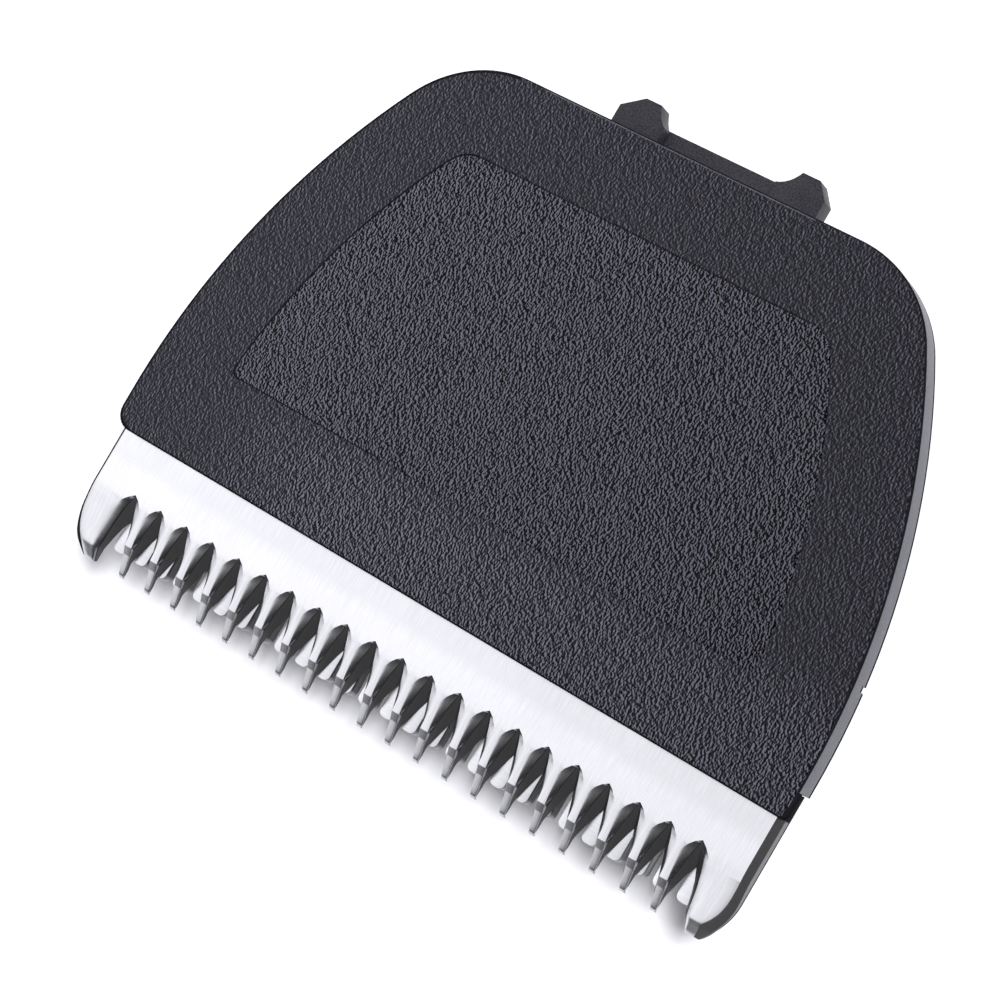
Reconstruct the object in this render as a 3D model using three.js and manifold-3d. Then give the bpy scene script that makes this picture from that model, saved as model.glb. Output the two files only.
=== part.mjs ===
// Detachable cutting head of a hair clipper: a grained lid over a toothed steel comb blade, a steel cutter that
// slides across under the comb's teeth, and the carrier that holds them and hooks on to the clipper.
// Working frame, in millimetres: X across the head, Y from the roots of the comb's gaps to the rear,
// Z up from the comb blade's top face. The last lines move the whole head to stand on z = 0.
import * as THREE from "three";
import { mergeVertices } from "three/addons/utils/BufferGeometryUtils.js";
import Module from "manifold-3d";

const wasm = await Module();
wasm.setup();

// ---- driving dimensions ----
const TOOTH_PITCH = 1.75; // comb teeth
const GAPS = 21; // gaps between comb teeth
const CUTTER_PITCH = 1.35; // cutter teeth
const CUTTER_TEETH = 27;
const CUTTER_REST = 0.2; // the cutter stands this far right of centre at rest

const COVER_TOP = 0.75;
const COVER_UNDER = -0.4; // underside of the lid's roof behind the blade
const RIM_BOTTOM = -1.1; // foot of the lid's rim
const RIM_WALL = 1.2;
const RIM_FRONT = 4; // the rim starts this far behind the gap roots
const NOTCH_Y = 9.4; // middle of the small notch in the rim's right foot
const NOTCH_WIDTH = 0.3;
const NOTCH_HEIGHT = 0.35;
const SIDE_X = 20.5; // half the head's width
const SIDE_RADIUS = 39; // the sides curve in towards the rear
const SIDE_CURVE_Y = 4.6; // from here
const CORNER_RADIUS = 6.3;
const REAR_Y = 27.4;
const LIP_FRONT = 2.6; // front edge of the lid, on the blade
const LIP_CORNER = 1; // its left end
const RIGHT_CORNER = 0.3;

const BLADE_THICK = 1;
const BLADE_HALF = 20.3;
const BLADE_CORNER = 3.1; // the outer teeth's round corners
const BLADE_CORNER_Y = -1.6; // their centres
const BLADE_TIP = -3.97;
const TOOTH_STEP = [-2.41, -0.41]; // [y, z] of the step down to the ledge behind the tips
const LEDGE = [-2.83, -0.69]; // where the ledge starts
const LEDGE_FALL = 0.485; // how steeply the ledge goes down
const END_BEVEL = [-3.3, -0.56]; // the end teeth turn down here
const END_FALL = 0.84;
const GAP_BEVEL = 0.2; // depth of the bevel along the gaps' top edges
const TIP_FOOT = [[-3.8, -1.52], [-3.45, -1.42], [-3.25, -1.25], [-3.1, -1]]; // [y, z] under the tips
const TONGUE_HALF = 16.5; // the blade narrows to this under the lid
const TONGUE_FRONT = 3.7;
const BLADE_REAR = 8.8;

const CLEAR = 0.05; // between faces that bear on each other
const CUTTER_THICK = 0.8;
const CUTTER_TIP = -2.95;
const CUTTER_ROOT = -0.55;
const CUTTER_REAR = 4.4;

const DECK_TOP = -0.55;
const DECK_BOTTOM = -1.75;
const DECK_FRONT = 5.9;
const DECK_INSET = 1.6; // the deck sits inside the lid's rim
const SKIRT_INSET = 4.2;
const SKIRT_WALL = 1.3;
const SKIRT_FRONT = 3.4;
const SKIRT_BOTTOM = -7.5;
const CHEEK_TOP = -2.1; // the skirt's front ends pass under the cutter

const LUG_TOP = -1.95;
const LUG_BOTTOM = -3.1;
const LUG_OUTER = 6.06;
const LUG_INNER = 3.3;
const LUG_SIDE_REAR = 28.75; // the lugs' outer sides end here, in a chamfer
const RIGHT_LUG_FLAT = [4.34, 5.34]; // across the lug's flat end
const LEFT_LUG_FLAT = [4.03, 4.94];
const LUG_NOTCH_Y = 28.62; // the lugs' hollow inner flanks start here
const LUG_ROOT = 22.5; // inside the skirt's rear wall
const LUG_REAR = 29.57;
const BAR_TOP = -2.85;
const BAR_BOTTOM = -3.6;
const BAR_FRONT = 26.7;
const BAR_REAR = 28.75;

const FACE_OVERLAP = 0.3; // pieces of one body run this far into each other
const PAST = 30; // blocks that cut right across the head reach this far to either side

const BLADE_SCREW = [13, 6.9];
const COVER_SCREWS = { front_left: [-11.2, 12.6], front_right: [11.2, 12.6],
  rear_left: [-3.4, 17.8], rear_right: [3.4, 17.8] };
const RIVET = [7, 2.3];

const SPRING_WIRE = 0.35; // wire radius
const COIL_RADIUS = 1.55; // to the middle of the wire
const COIL_Y = 18;
const COIL_Z = -4.3;
const LEG_X = 9.9; // the coils' outer ends, where the legs leave
const BAIL_X = 7.3; // the coils' inner ends, where the bail leaves
const BAIL_Y = 21.4;
const LEG_TIP_Y = 1.5;
const PIN_RADIUS = 0.95;

const BRIDGE_BOTTOM = -5.6;
const WING_HALF = 11.5;
const WING_THICK = 1.15;
const BLOCK_HALF = 3.6;
const SLOT_HALF = 2.3;
const SLOT_Y = [7.4, 12.9];
const BLOCK_REAR = 14;

// ---- levels that follow from them ----
const CUTTER_TOP = -BLADE_THICK - CLEAR;
const CUTTER_BOTTOM = CUTTER_TOP - CUTTER_THICK;
const WING_TOP = CUTTER_BOTTOM - 2 * CLEAR;
const WING_BOTTOM = WING_TOP - WING_THICK;
const COMB_MIDDLE = (GAPS - 1) / 2;

// ---- materials ----
const plain = (color, roughness, metalness) => new THREE.MeshStandardMaterial({ color, roughness, metalness });
const LID_PLASTIC = plain(0x3c3c44, 0.6, 0);
const FRAME_PLASTIC = plain(0x2c2c31, 0.45, 0);
const BLADE_STEEL = plain(0xdfe1e6, 0.3, 1);
const CUTTER_STEEL = plain(0xc9ccd2, 0.35, 1);
const ACETAL = plain(0xe9e7df, 0.4, 0);
const SPRING_STEEL = plain(0xb9bcc2, 0.25, 1);
const SCREW_STEEL = plain(0xa9adb4, 0.35, 1);

// ---- solids ----
// A closed three.js geometry as a solid that can be joined and cut.
function solid(geometry) {
  const bare = geometry.clone();
  bare.deleteAttribute("normal");
  bare.deleteAttribute("uv");
  const merged = mergeVertices(bare, 1e-4);
  return new wasm.Manifold(new wasm.Mesh({
    numProp: 3,
    vertProperties: merged.attributes.position.array,
    triVerts: new Uint32Array(merged.index.array),
  }));
}

function toGeometry(made) {
  const { vertProperties, triVerts } = made.getMesh();
  const geometry = new THREE.BufferGeometry();
  geometry.setAttribute("position", new THREE.BufferAttribute(vertProperties, 3));
  geometry.setIndex(new THREE.BufferAttribute(triVerts, 1));
  return geometry.toNonIndexed();
}

const join = (first, ...rest) => rest.reduce((whole, piece) => whole.add(piece), first);
const cut = (first, ...rest) => rest.reduce((whole, piece) => whole.subtract(piece), first);

// An XY outline raised from one level to another.
function slab(shape, bottom, top, curveSegments = 6) {
  const geometry = new THREE.ExtrudeGeometry(shape, { depth: top - bottom, bevelEnabled: false, curveSegments });
  return solid(geometry.translate(0, 0, bottom));
}

function block(x0, x1, y0, y1, z0, z1) {
  const geometry = new THREE.BoxGeometry(x1 - x0, y1 - y0, z1 - z0);
  return solid(geometry.translate((x0 + x1) / 2, (y0 + y1) / 2, (z0 + z1) / 2));
}

function rod(x, y, z0, z1, radius, sides = 20) {
  const geometry = new THREE.CylinderGeometry(radius, radius, z1 - z0, sides).rotateX(Math.PI / 2);
  return solid(geometry.translate(x, y, (z0 + z1) / 2));
}

// A shape turned about the Z axis from [radius, z] pairs that run up the outside.
function turned(profile, sides = 16) {
  const points = profile.map(([r, z]) => new THREE.Vector2(r, z));
  return solid(new THREE.LatheGeometry(points, sides).rotateX(Math.PI / 2));
}

// ---- outlines ----
// The head's plan outline, drawn in by inset and cut off square at frontY with rounded front corners.
function headOutline(inset, frontY, leftRadius = 0, rightRadius = leftRadius) {
  const x = SIDE_X - inset;
  const sideRadius = SIDE_RADIUS - inset;
  const cornerRadius = CORNER_RADIUS - inset;
  const centreX = SIDE_X - SIDE_RADIUS;
  const cornerY = REAR_Y - CORNER_RADIUS;
  const reach = SIDE_RADIUS - CORNER_RADIUS;
  const cornerAngle = Math.asin((cornerY - SIDE_CURVE_Y) / reach);
  const cornerX = centreX + reach * Math.cos(cornerAngle);
  const startAngle = Math.max(0, Math.asin((frontY - SIDE_CURVE_Y) / sideRadius));
  const shape = new THREE.Shape();
  if (frontY < SIDE_CURVE_Y) {
    shape.moveTo(-x + leftRadius, frontY);
    shape.lineTo(x - rightRadius, frontY);
    if (rightRadius > 0) shape.absarc(x - rightRadius, frontY + rightRadius, rightRadius, -Math.PI / 2, 0);
  } else {
    shape.moveTo(-centreX - sideRadius * Math.cos(startAngle), frontY);
  }
  shape.absarc(centreX, SIDE_CURVE_Y, sideRadius, startAngle, cornerAngle);
  if (cornerRadius > 0) shape.absarc(cornerX, cornerY, cornerRadius, cornerAngle, Math.PI / 2);
  if (cornerRadius > 0) shape.absarc(-cornerX, cornerY, cornerRadius, Math.PI / 2, Math.PI - cornerAngle);
  shape.absarc(-centreX, SIDE_CURVE_Y, sideRadius, Math.PI - cornerAngle, Math.PI - startAngle);
  if (frontY < SIDE_CURVE_Y && leftRadius > 0)
    shape.absarc(-x + leftRadius, frontY + leftRadius, leftRadius, Math.PI, Math.PI * 1.5);
  return shape;
}

function polygon(points) {
  return new THREE.Shape(points.map(([x, y]) => new THREE.Vector2(x, y)));
}

// A YZ profile drawn out across the head.
function acrossX(profile, halfWidth) {
  const geometry = new THREE.ExtrudeGeometry(polygon(profile), { depth: 2 * halfWidth, bevelEnabled: false });
  geometry.translate(0, 0, -halfWidth).rotateX(Math.PI / 2).rotateZ(Math.PI / 2);
  return solid(geometry);
}

// ---- lid ----
function topCover() {
  const bevel = 0.25;
  const foot = RIM_BOTTOM - 1;
  const outline = headOutline(bevel, LIP_FRONT + bevel, LIP_CORNER - bevel, RIGHT_CORNER - bevel);
  const blank = new THREE.ExtrudeGeometry(outline, { depth: COVER_TOP - bevel - foot, bevelThickness: bevel,
    bevelSize: bevel, bevelSegments: 2, curveSegments: 6 });
  const belowRim = block(-PAST, PAST, LIP_FRONT - 5, REAR_Y + 5, foot - 1, RIM_BOTTOM);
  const inside = slab(headOutline(RIM_WALL, LIP_FRONT), foot, COVER_UNDER);
  const shell = cut(solid(blank.translate(0, 0, foot)), belowRim, inside);
  const overBlade = block(-PAST, PAST, LIP_FRONT - 5, RIM_FRONT, RIM_BOTTOM - 1, CLEAR);
  const overTongue = block(-TONGUE_HALF - 0.4, TONGUE_HALF + 0.4, RIM_FRONT - 1, BLADE_REAR + 0.4,
    RIM_BOTTOM - 1, CLEAR);
  const bosses = Object.values(COVER_SCREWS).map(([x, y]) => rod(x, y, -1.6, COVER_UNDER + 0.1, 2));
  const bores = Object.values(COVER_SCREWS).map(([x, y]) => rod(x, y, -2, 0.1, 1.1));
  const notch = block(SIDE_X - 2, SIDE_X + 1, NOTCH_Y - NOTCH_WIDTH / 2, NOTCH_Y + NOTCH_WIDTH / 2,
    RIM_BOTTOM - 1, RIM_BOTTOM + NOTCH_HEIGHT);
  return cut(join(cut(shell, overBlade, overTongue), ...bosses), ...bores, notch);
}

// ---- fixed blade ----
// One side of a gap, from its root to past the tips. Each row holds the reach in front of the root, the half
// widths at the top and foot of the bevel, and the reach, half width and level of the groove below them.
const INNER_SIDE = [[0, 0, 0, 1.2, 0, -1], [0.43, 0.5, 0.15, 1.5, 0.12, -1], [0.7, 0.69, 0.22, 1.7, 0.18, -1],
  [1.05, 0.76, 0.31, 1.93, 0.25, -1], [2.41, 0.66, 0.57, 2.88, 0.52, -1], [2.83, 0.68, 0.62, 3.17, 0.6, -1.3],
  [5, 0.8, 0.74, 4.9, 0.86, -2.3]];
const END_SIDE = [[0, 0, 0, 1.2, 0, -1], [0.43, 0.5, 0.22, 1.5, 0.14, -1], [0.7, 0.66, 0.32, 1.7, 0.22, -1],
  [1.05, 0.72, 0.42, 1.93, 0.3, -1], [2.41, 0.84, 0.64, 2.88, 0.55, -1], [3.3, 1.02, 0.8, 3.5, 0.74, -1.3],
  [5, 1.3, 1.05, 4.9, 1.1, -2.4]];

// Level of a tooth's top at a reach in front of the roots.
function toothTop(reach, isEnd) {
  const [turnY, turnZ] = isEnd ? END_BEVEL : LEDGE;
  const [slopeY, slopeZ] = isEnd ? END_BEVEL : TOOTH_STEP;
  if (reach <= -slopeY) return (slopeZ * reach) / -slopeY;
  return turnZ - (isEnd ? END_FALL : LEDGE_FALL) * (reach + turnY);
}

// The point on the line from one point through another, at this multiple of their distance.
const beyond = (from, to, share) => from.map((value, i) => value + (to[i] - value) * share);

// The solid through closed outlines of as many points each, from the lowest to the highest.
function loft(...rings) {
  const flat = rings[0].map((_, i) => rings.at(-1)[i].slice(0, 2));
  const steps = rings.length - 1;
  const geometry = new THREE.ExtrudeGeometry(polygon(flat), { depth: steps, steps, bevelEnabled: false });
  const place = geometry.attributes.position;
  for (let i = 0; i < place.count; i++) {
    const corner = flat.findIndex(([x, y]) => Math.hypot(x - place.getX(i), y - place.getY(i)) < 1e-4);
    place.setXYZ(i, ...rings[Math.round(place.getZ(i))][corner]);
  }
  return solid(geometry);
}

// The points down one side of a gap whose middle is at x.
function gapSide(x, sign, isEnd) {
  return (isEnd ? END_SIDE : INNER_SIDE).map(([reach, crest, wall, lowReach, low, lowLevel]) => {
    const level = toothTop(reach, isEnd);
    return {
      crest: [x + sign * crest, -reach, level],
      wall: [x + sign * wall, -reach, level - GAP_BEVEL],
      low: [x + sign * low, -lowReach, lowLevel],
    };
  });
}

// One gap: a pointed groove that narrows and starts further forward below, bevelled along its top edges. It runs
// past the blade's underside and its top face.
function gapCutter(index) {
  const x = (index - COMB_MIDDLE) * TOOTH_PITCH;
  const left = gapSide(x, -1, index === 0);
  const right = gapSide(x, 1, index === GAPS - 1);
  const round = [...left.slice(1).reverse(), ...right];
  const pastFoot = 2.2;
  const pastCrest = 1.3;
  const foot = round.map(({ wall, low }) => beyond(wall, low, pastFoot));
  const brim = round.map(({ wall, crest }) => beyond(wall, crest, pastCrest));
  const above = brim.map(([brimX, brimY]) => [brimX, brimY, BLADE_THICK]);
  return loft(foot, round.map(({ wall }) => wall), brim, above);
}

function bladeOutline() {
  const half = BLADE_HALF;
  const r = BLADE_CORNER;
  const tipAngle = Math.asin((BLADE_CORNER_Y - BLADE_TIP) / r);
  const fillet = 0.6;
  const shape = new THREE.Shape();
  shape.moveTo(-half + r - r * Math.cos(tipAngle), BLADE_TIP);
  shape.absarc(half - r, BLADE_CORNER_Y, r, -tipAngle, 0);
  shape.lineTo(half, TONGUE_FRONT);
  shape.lineTo(TONGUE_HALF + fillet, TONGUE_FRONT);
  shape.absarc(TONGUE_HALF + fillet, TONGUE_FRONT + fillet, fillet, -Math.PI / 2, -Math.PI, true);
  shape.lineTo(TONGUE_HALF, BLADE_REAR);
  shape.lineTo(-TONGUE_HALF, BLADE_REAR);
  shape.absarc(-TONGUE_HALF - fillet, TONGUE_FRONT + fillet, fillet, 0, -Math.PI / 2, true);
  shape.lineTo(-half, TONGUE_FRONT);
  shape.absarc(-half + r, BLADE_CORNER_Y, r, Math.PI, Math.PI + tipAngle);
  return shape;
}

function fixedBlade() {
  // The teeth slope down, step at the cutter's tips, and turn down in front of them.
  const section = [[BLADE_REAR, 0], [0, 0], END_BEVEL, [BLADE_TIP, toothTop(-BLADE_TIP, true)], [BLADE_TIP, -1.5],
    ...TIP_FOOT, [BLADE_REAR, -BLADE_THICK]];
  const blank = acrossX(section, BLADE_HALF + 1).intersect(slab(bladeOutline(), -3, 1, 8));
  const cuts = [];
  for (let i = 0; i < GAPS; i++) cuts.push(gapCutter(i));
  const past = BLADE_TIP - 1;
  const step = [[TOOTH_STEP[0], 1], TOOTH_STEP, LEDGE, [past, toothTop(-past, false)], [past, 1]];
  cuts.push(acrossX(step, (COMB_MIDDLE + 0.3) * TOOTH_PITCH));
  for (const side of [-1, 1]) {
    const sink = turned([[0, -1.2], [1.15, -1.2], [1.15, -0.75], [2.1, 0.2], [0, 0.2]]);
    cuts.push(sink.translate([side * BLADE_SCREW[0], BLADE_SCREW[1], 0]));
  }
  return cut(blank, ...cuts);
}

// ---- cutter ----
function movingBlade() {
  const halfTooth = 0.42;
  const tipRound = 0.3;
  const halfWidth = ((CUTTER_TEETH - 1) / 2) * CUTTER_PITCH + halfTooth;
  const shape = new THREE.Shape();
  shape.moveTo(-halfWidth, CUTTER_REAR);
  for (let i = 0; i < CUTTER_TEETH; i++) {
    const x = (i - (CUTTER_TEETH - 1) / 2) * CUTTER_PITCH;
    shape.lineTo(x - halfTooth, CUTTER_ROOT);
    shape.lineTo(x - halfTooth + 0.06, CUTTER_TIP + tipRound);
    shape.quadraticCurveTo(x - halfTooth + 0.08, CUTTER_TIP, x, CUTTER_TIP);
    shape.quadraticCurveTo(x + halfTooth - 0.08, CUTTER_TIP, x + halfTooth - 0.06, CUTTER_TIP + tipRound);
    shape.lineTo(x + halfTooth, CUTTER_ROOT);
    if (i < CUTTER_TEETH - 1) shape.lineTo(x + CUTTER_PITCH / 2, CUTTER_ROOT + 0.35);
  }
  shape.lineTo(halfWidth, CUTTER_REAR);
  const plate = slab(shape, CUTTER_BOTTOM, CUTTER_TOP, 2);
  const holes = [-1, 1].map((side) => rod(side * RIVET[0], RIVET[1], CUTTER_BOTTOM - 1, CUTTER_TOP + 1, 1));
  return cut(plate, ...holes).translate([CUTTER_REST, 0, 0]);
}

function driveBridge() {
  const wingFront = 0.6;
  const wingRear = 3.9;
  const wings = block(-WING_HALF, WING_HALF, wingFront, wingRear, WING_BOTTOM, WING_TOP);
  const blockTop = -2.1;
  const body = block(-BLOCK_HALF, BLOCK_HALF, wingFront + 1, BLOCK_REAR, BRIDGE_BOTTOM, blockTop);
  const noseCut = acrossX([[wingFront, BRIDGE_BOTTOM - 1], [6, BRIDGE_BOTTOM - 1], [wingFront, WING_BOTTOM]],
    BLOCK_HALF + 1);
  const gusset = block(-RIVET[0] + 1.6, RIVET[0] - 1.6, 3.1, wingRear, WING_BOTTOM - 0.8, WING_TOP);
  const slot = block(-SLOT_HALF, SLOT_HALF, SLOT_Y[0], SLOT_Y[1], BRIDGE_BOTTOM - 1, 0);
  const holes = [-1, 1].map((side) => rod(side * RIVET[0], RIVET[1], WING_BOTTOM - 2, 0, 1));
  return cut(join(wings, body, gusset), noseCut, slot, ...holes).translate([CUTTER_REST, 0, 0]);
}

function bridgeRivet(side) {
  const shank = 0.75;
  const head = WING_BOTTOM - CLEAR;
  const profile = [[0, head - 0.5], [0.8, head - 0.42], [1.25, head], [shank, head], [shank, CUTTER_TOP - CLEAR],
    [0, CUTTER_TOP - CLEAR]];
  return turned(profile, 20).translate([side * RIVET[0] + CUTTER_REST, RIVET[1], 0]);
}

// ---- carrier ----
function springEars() {
  const earRadius = 1.6;
  const half = 0.5;
  const ears = [6.2, 10.9].map((x) => {
    const upright = block(x - half, x + half, COIL_Y - earRadius, COIL_Y + earRadius, COIL_Z,
      DECK_BOTTOM + FACE_OVERLAP);
    const round = rod(0, 0, -half, half, earRadius).rotate([0, 90, 0]).translate([x, COIL_Y, COIL_Z]);
    const bore = rod(0, 0, -1, 1, PIN_RADIUS + 0.2).rotate([0, 90, 0]).translate([x, COIL_Y, COIL_Z]);
    return cut(join(upright, round), bore);
  });
  return [...ears, ...ears.map((ear) => ear.mirror([1, 0, 0]))];
}

// A lug on the right, with its web up to the deck; flat is where its flat end starts and stops.
function lug(flat) {
  const shape = new THREE.Shape();
  shape.moveTo(LUG_INNER, LUG_ROOT);
  shape.lineTo(LUG_OUTER, LUG_ROOT);
  shape.lineTo(LUG_OUTER, LUG_SIDE_REAR);
  shape.lineTo(flat[1], LUG_REAR);
  shape.lineTo(flat[0], LUG_REAR);
  shape.quadraticCurveTo(flat[0] - 0.35, LUG_NOTCH_Y + 0.18, LUG_INNER, LUG_NOTCH_Y);
  const web = block(LUG_INNER, LUG_OUTER, LUG_ROOT, REAR_Y - 2, LUG_TOP - 0.1, DECK_BOTTOM + FACE_OVERLAP);
  return join(slab(shape, LUG_BOTTOM, LUG_TOP, 6), web);
}

function lugPair() {
  // The bar hangs under the lugs' inner ends.
  const bar = block(-LUG_INNER - 1, LUG_INNER + 1, BAR_FRONT, BAR_REAR, BAR_BOTTOM, BAR_TOP);
  return join(lug(RIGHT_LUG_FLAT), lug(LEFT_LUG_FLAT).mirror([1, 0, 0]), bar);
}

function carrierFrame() {
  const deck = slab(headOutline(DECK_INSET, DECK_FRONT), DECK_BOTTOM, DECK_TOP);
  const skirtShape = headOutline(SKIRT_INSET, SKIRT_FRONT);
  const coreShape = headOutline(SKIRT_INSET + SKIRT_WALL, SKIRT_FRONT);
  const frontless = block(-PAST, PAST, SKIRT_FRONT - 1, DECK_FRONT, CHEEK_TOP, 5);
  const between = block(-SIDE_X + SKIRT_INSET + SKIRT_WALL, SIDE_X - SKIRT_INSET - SKIRT_WALL, SKIRT_FRONT - 2,
    SKIRT_FRONT + 4, SKIRT_BOTTOM - 1, 0);
  const skirt = cut(slab(skirtShape, SKIRT_BOTTOM, DECK_BOTTOM + FACE_OVERLAP),
    slab(coreShape, SKIRT_BOTTOM - 1, 0), frontless, between);
  const seat = block(-TONGUE_HALF - 0.4, TONGUE_HALF + 0.4, DECK_FRONT - 1, BLADE_REAR + 0.4,
    -BLADE_THICK - CLEAR, 1);
  // Under each blade screw: a thick pad with a pocket for the guide strip's tab, and a post with the screw's bore.
  const padHalf = 3;
  const padBottom = -2.9;
  const tabHalf = 2.3;
  const posts = [];
  const pockets = [];
  for (const side of [-1, 1]) {
    const x = side * BLADE_SCREW[0];
    posts.push(block(x - padHalf, x + padHalf, DECK_FRONT, 9.6, padBottom, DECK_BOTTOM + FACE_OVERLAP));
    posts.push(rod(x, BLADE_SCREW[1], -5.4, padBottom + 0.4, 2.1));
    pockets.push(block(x - tabHalf, x + tabHalf, DECK_FRONT - 1, 9, DECK_BOTTOM - CLEAR, 0));
    pockets.push(rod(x, BLADE_SCREW[1], -6, 0, 1.05));
  }
  const bossHoles = Object.values(COVER_SCREWS).map(([x, y]) => rod(x, y, -3, 0, 2.15));
  // Two ridges outside the skirt catch behind edges in the clipper's neck.
  const ridge = block(14.4, 16, 10.5, 13.5, -6, -4.9);
  const catches = [ridge, ridge.mirror([1, 0, 0])];
  return join(cut(join(deck, skirt, ...posts, ...catches), seat, ...pockets, ...bossHoles),
    ...springEars(), lugPair());
}

// An acetal strip behind the cutter keeps it square; its tabs are held under the blade screws.
function guideStrip() {
  const top = -BLADE_THICK - CLEAR;
  const bottom = DECK_BOTTOM;
  const strip = block(-TONGUE_HALF, TONGUE_HALF, CUTTER_REAR + 0.15, DECK_FRONT - 0.15, bottom, top);
  const tabs = [-1, 1].map((side) => block(side * BLADE_SCREW[0] - 2.1, side * BLADE_SCREW[0] + 2.1,
    DECK_FRONT - 0.5, 8.8, bottom, top));
  const holes = [-1, 1].map((side) => rod(side * BLADE_SCREW[0], BLADE_SCREW[1], bottom - 1, 0, 1.1));
  return cut(join(strip, ...tabs), ...holes);
}

// ---- pressure spring ----
// One wire: a leg to each wing of the bridge, a coil round each pin, and a bail against the deck between them.
function springWire() {
  const legZ = WING_BOTTOM - CLEAR - SPRING_WIRE;
  const legAngle = -Math.atan2(legZ - (COIL_Z - COIL_RADIUS), COIL_Y - LEG_TIP_Y - 1.5);
  const bailAngle = THREE.MathUtils.degToRad(52);
  const turns = 3;
  const sweep = bailAngle - legAngle + turns * 2 * Math.PI;
  const steps = 12 * turns + 2;
  const bailZ = DECK_BOTTOM - CLEAR - SPRING_WIRE;
  const half = [[LEG_X, LEG_TIP_Y, legZ], [LEG_X, LEG_TIP_Y + 1.2, legZ], [LEG_X, LEG_TIP_Y + 2.4, legZ - 0.2]];
  const coilAt = (k) => {
    const angle = legAngle + (sweep * k) / steps;
    return [LEG_X + ((BAIL_X - LEG_X) * k) / steps, COIL_Y + COIL_RADIUS * Math.sin(angle),
      COIL_Z - COIL_RADIUS * Math.cos(angle)];
  };
  const [, legEndY, legEndZ] = coilAt(0);
  for (const part of [0.4, 0.7, 0.93])
    half.push([LEG_X, LEG_TIP_Y + (legEndY - LEG_TIP_Y) * part, legZ + (legEndZ - legZ) * part]);
  for (let k = 0; k <= steps; k++) half.push(coilAt(k));
  half.push([BAIL_X, BAIL_Y - 0.6, bailZ - 0.7]);
  half.push([BAIL_X - 0.5, BAIL_Y, bailZ]);
  half.push([BAIL_X - 2, BAIL_Y, bailZ]);
  const whole = [...half, ...half.map(([x, y, z]) => [-x, y, z]).reverse()];
  return new THREE.CatmullRomCurve3(whole.map(([x, y, z]) => new THREE.Vector3(x, y, z)), false, "centripetal");
}

function pressureSpring() {
  const section = new THREE.Shape().absarc(0, 0, SPRING_WIRE, 0, 2 * Math.PI);
  return solid(new THREE.ExtrudeGeometry(section, { steps: 150, extrudePath: springWire(), curveSegments: 4 }));
}

function springPin(side) {
  const ends = [5.5, 11.6];
  const pin = turned([[0, ends[0]], [PIN_RADIUS - 0.15, ends[0]], [PIN_RADIUS, ends[0] + 0.15],
    [PIN_RADIUS, ends[1] - 0.15], [PIN_RADIUS - 0.15, ends[1]], [0, ends[1]]], 20);
  return pin.rotate([0, 90 * side, 0]).translate([0, COIL_Y, COIL_Z]);
}

// ---- screws ----
// A cross recess for the driver, centred on the axis at the level z.
function crossRecess(z, depth) {
  const long = 0.95;
  const half = 0.22;
  return join(block(-long, long, -half, half, z - depth, z + depth), block(-half, half, -long, long, z - depth,
    z + depth));
}

function bladeScrew(side) {
  const top = -0.04;
  const shank = 0.85;
  const body = turned([[0, -4.7], [0.4, -4.7], [shank, -4.2], [shank, -0.9], [1.7, top - 0.06], [1.7, top],
    [0, top]]);
  return cut(body, crossRecess(top, 0.45)).translate([side * BLADE_SCREW[0], BLADE_SCREW[1], 0]);
}

function coverScrew([x, y]) {
  const seat = DECK_BOTTOM - CLEAR;
  const shank = 0.85;
  const body = turned([[0, seat - 1.15], [1.5, seat - 1.05], [2.1, seat - 0.6], [2.2, seat], [shank, seat],
    [shank, -0.25], [0.5, 0], [0, 0]]);
  return cut(body, crossRecess(seat - 1.15, 0.6)).translate([x, y, 0]);
}

// ---- assembly ----
const head = new THREE.Group();

function add(name, made, material) {
  const mesh = new THREE.Mesh(toGeometry(made), material);
  mesh.name = name;
  head.add(mesh);
}

add("top_cover", topCover(), LID_PLASTIC);
add("carrier_frame", carrierFrame(), FRAME_PLASTIC);
add("fixed_blade", fixedBlade(), BLADE_STEEL);
add("guide_strip", guideStrip(), ACETAL);
add("moving_blade", movingBlade(), CUTTER_STEEL);
add("drive_bridge", driveBridge(), ACETAL);
add("pressure_spring", pressureSpring(), SPRING_STEEL);
for (const [name, side] of [["left", -1], ["right", 1]]) {
  add("blade_screw_" + name, bladeScrew(side), SCREW_STEEL);
  add("bridge_rivet_" + name, bridgeRivet(side), SCREW_STEEL);
  add("spring_pin_" + name, springPin(side), SPRING_STEEL);
}
for (const [name, at] of Object.entries(COVER_SCREWS)) add("cover_screw_" + name, coverScrew(at), SCREW_STEEL);

// The origin is at the middle of the head's box, on the plane that the skirt stands on.
head.position.set(0, -(BLADE_TIP + LUG_REAR) / 2, -SKIRT_BOTTOM);

export default head;
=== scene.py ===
"""Visual model of a hair clipper's detachable cutting head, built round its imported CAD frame.

Lengths in this script are millimetres, measured from the line of the comb's gap roots (y), the blade's top
face (z) and the head's middle (x). place() turns such a point into metres in the row frame.
"""
import math

import bmesh
import bpy
from mathutils import Matrix, Vector


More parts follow.
